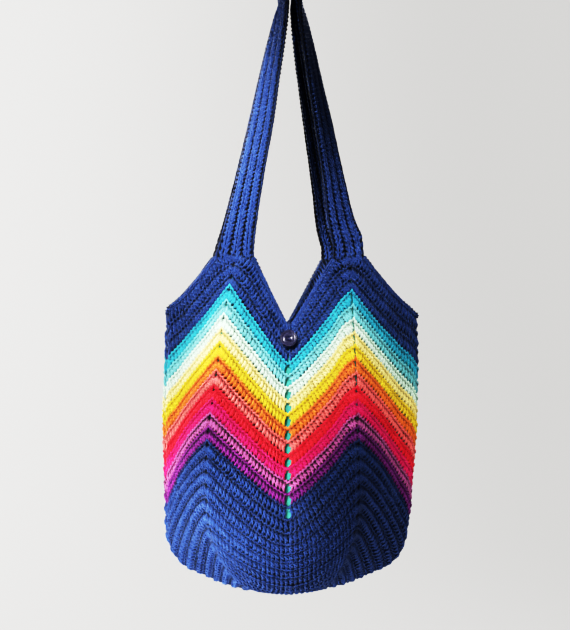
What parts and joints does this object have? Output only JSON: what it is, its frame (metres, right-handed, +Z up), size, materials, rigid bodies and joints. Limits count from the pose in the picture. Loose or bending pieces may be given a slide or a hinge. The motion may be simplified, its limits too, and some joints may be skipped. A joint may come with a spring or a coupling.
{
  "type": "crochet tote bag",
  "caption": "Soft crocheted tote bag with zigzag coloured rounds, a V-shaped mouth, a cloth lining, a button with a loop and long flat handles, hanging from a hook.",
  "frame": {"origin": "underside of the tops of the handles, where a hook carries them", "axes": "+Z up, the front faces -Y, +X to the right seen from the front"},
  "size_m": [0.3706, 0.1864, 0.8659],
  "materials": {
    "navy_yarn": "matte mercerised cotton yarn, crocheted",
    "turquoise_yarn": "matte mercerised cotton yarn, crocheted",
    "mint_yarn": "matte mercerised cotton yarn, crocheted",
    "cream_yarn": "matte mercerised cotton yarn, crocheted",
    "pale_yellow_yarn": "matte mercerised cotton yarn, crocheted",
    "yellow_yarn": "matte mercerised cotton yarn, crocheted",
    "orange_yarn": "matte mercerised cotton yarn, crocheted",
    "salmon_yarn": "matte mercerised cotton yarn, crocheted",
    "red_yarn": "matte mercerised cotton yarn, crocheted",
    "magenta_yarn": "matte mercerised cotton yarn, crocheted",
    "lilac_yarn": "matte mercerised cotton yarn, crocheted",
    "purple_yarn": "matte mercerised cotton yarn, crocheted",
    "teal_lining": "matte plain woven cotton",
    "button_plastic": "dark, slightly translucent, polished",
    "sewing_thread": "twisted polyester thread"
  },
  "bodies": {
    "root": {"rim_rounds": "navy_yarn", "round_turquoise": "turquoise_yarn", "round_mint": "mint_yarn", "round_cream": "cream_yarn", "round_pale_yellow": "pale_yellow_yarn", "round_yellow": "yellow_yarn", "round_orange": "orange_yarn", "round_salmon": "salmon_yarn", "round_red": "red_yarn", "round_magenta": "magenta_yarn", "round_lilac": "lilac_yarn", "round_purple": "purple_yarn", "base_rounds": "navy_yarn", "lining": "teal_lining", "front_handle": "navy_yarn", "back_handle": "navy_yarn", "button": "button_plastic", "button_thread": "sewing_thread", "button_loop": "navy_yarn"}
  },
  "joints": []
}
